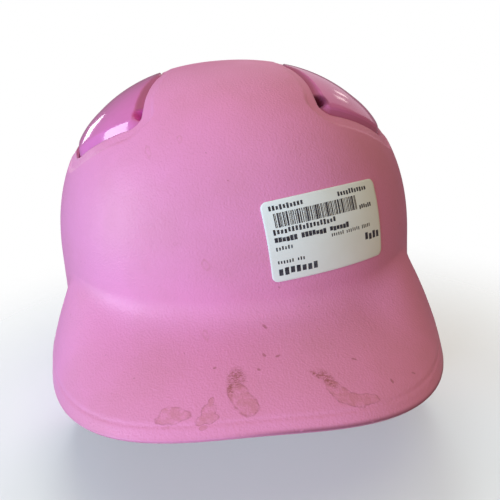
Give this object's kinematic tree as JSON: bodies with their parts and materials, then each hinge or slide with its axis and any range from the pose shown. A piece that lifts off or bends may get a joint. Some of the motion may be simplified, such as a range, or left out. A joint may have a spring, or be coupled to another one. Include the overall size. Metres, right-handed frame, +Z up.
{
  "type": "youth batting helmet",
  "caption": "Moulded batting helmet with a bill, two ear flaps, glossy vent panels, foam padding, chin strap studs and face guard nuts.",
  "frame": {"origin": "centre of the bounding box on the plane that the ear flaps and the nape stand on", "axes": "+Z up, -Y the way the wearer faces, +X the wearer's left"},
  "size_m": [0.2112, 0.2749, 0.1959],
  "materials": {
    "shell_pink": "matte, fine leather grain",
    "panel_gloss": "high gloss",
    "pad_foam": "closed-cell foam, matte",
    "sweatband_fabric": "brushed knit",
    "ear_pad_fabric": "brushed knit over foam",
    "hook_and_loop": "hook tape",
    "zinc_hardware": "zinc plated",
    "label_paper": "coated thermal paper"
  },
  "bodies": {
    "helmet": {"outer_shell": "shell_pink", "left_vent_panel": "panel_gloss", "right_vent_panel": "panel_gloss", "left_panel_screws": "zinc_hardware", "right_panel_screws": "zinc_hardware", "brow_pad": "pad_foam", "brow_sweatband": "sweatband_fabric", "crown_front_pad": "pad_foam", "crown_top_pad": "pad_foam", "crown_rear_pad": "ear_pad_fabric", "left_crown_pad": "pad_foam", "right_crown_pad": "pad_foam", "left_temple_pad": "pad_foam", "right_temple_pad": "pad_foam", "left_side_pad": "pad_foam", "right_side_pad": "pad_foam", "left_rear_pad": "ear_pad_fabric", "right_rear_pad": "ear_pad_fabric", "rear_centre_pad": "pad_foam", "nape_pad": "pad_foam", "left_hook_patches": "hook_and_loop", "right_hook_patches": "hook_and_loop", "left_snap_stud": "zinc_hardware", "right_snap_stud": "zinc_hardware", "left_snap_washer": "zinc_hardware", "right_snap_washer": "zinc_hardware", "left_guard_nut": "zinc_hardware", "right_guard_nut": "zinc_hardware", "price_label": "label_paper"},
    "left_ear_cushion": {"left_ear_pad": "ear_pad_fabric"},
    "right_ear_cushion": {"right_ear_pad": "ear_pad_fabric"}
  },
  "joints": [
    {"name": "left_ear_pad_pull", "type": "slide", "parent": "helmet", "child": "left_ear_cushion", "axis": [-1, 0, 0], "range_m": [0, 0.03]},
    {"name": "right_ear_pad_pull", "type": "slide", "parent": "helmet", "child": "right_ear_cushion", "axis": [1, 0, 0], "range_m": [0, 0.03]}
  ]
}
